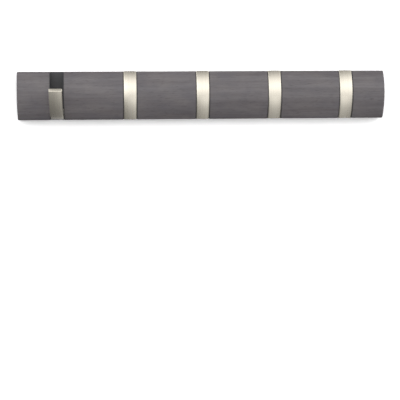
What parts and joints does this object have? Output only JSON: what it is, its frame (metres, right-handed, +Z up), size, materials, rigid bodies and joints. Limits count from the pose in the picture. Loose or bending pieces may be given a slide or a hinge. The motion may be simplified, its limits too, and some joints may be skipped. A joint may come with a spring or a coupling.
{
  "type": "folding wall hook rail",
  "caption": "Wall rail of grey-stained wood with a bowed face, and satin-nickel hooks that fold flush into slots in it or swing out to hang coats.",
  "frame": {"origin": "middle of the rail's flat back face, on the wall plane, midway between the keyhole entries", "axes": "+X along the rail, to the right as seen from the room; +Y into the wall; +Z up"},
  "size_m": [0.508, 0.0668, 0.0665],
  "materials": {
    "stained_wood": "grey stain with a satin lacquer, faint grain along the rail",
    "satin_nickel": "satin nickel plate on cast zinc",
    "coated_steel": "matt black-grey powder coat on folded sheet steel",
    "bright_steel": "drawn bright steel",
    "zinc_steel": "bright zinc plate"
  },
  "bodies": {
    "rail": {"rail_body": "stained_wood", "hook_bracket_1": "coated_steel", "pivot_pin_1": "bright_steel", "disc_springs_1": "bright_steel", "hook_bracket_2": "coated_steel", "pivot_pin_2": "bright_steel", "disc_springs_2": "bright_steel", "hook_bracket_3": "coated_steel", "pivot_pin_3": "bright_steel", "disc_springs_3": "bright_steel", "hook_bracket_4": "coated_steel", "pivot_pin_4": "bright_steel", "disc_springs_4": "bright_steel", "hook_bracket_5": "coated_steel", "pivot_pin_5": "bright_steel", "disc_springs_5": "bright_steel", "bracket_screws": "coated_steel", "keyhole_plate_left": "zinc_steel", "keyhole_plate_right": "zinc_steel", "plate_screws": "zinc_steel"},
    "hook_1": {"hook_1": "satin_nickel"},
    "hook_2": {"hook_2": "satin_nickel"},
    "hook_3": {"hook_3": "satin_nickel"},
    "hook_4": {"hook_4": "satin_nickel"},
    "hook_5": {"hook_5": "satin_nickel"}
  },
  "joints": [
    {"name": "hook_1_fold", "type": "hinge", "parent": "rail", "child": "hook_1", "pos_m": [-0.2, -0.018, -0.02498], "axis": [1, 0, 0], "range_deg": [-54.5, 0]},
    {"name": "hook_2_fold", "type": "hinge", "parent": "rail", "child": "hook_2", "pos_m": [-0.1, -0.018, -0.02498], "axis": [1, 0, 0], "range_deg": [0, 54.5]},
    {"name": "hook_3_fold", "type": "hinge", "parent": "rail", "child": "hook_3", "pos_m": [0, -0.018, -0.02498], "axis": [1, 0, 0], "range_deg": [0, 54.5]},
    {"name": "hook_4_fold", "type": "hinge", "parent": "rail", "child": "hook_4", "pos_m": [0.1, -0.018, -0.02498], "axis": [1, 0, 0], "range_deg": [0, 54.5]},
    {"name": "hook_5_fold", "type": "hinge", "parent": "rail", "child": "hook_5", "pos_m": [0.2, -0.018, -0.02498], "axis": [1, 0, 0], "range_deg": [0, 54.5]}
  ]
}
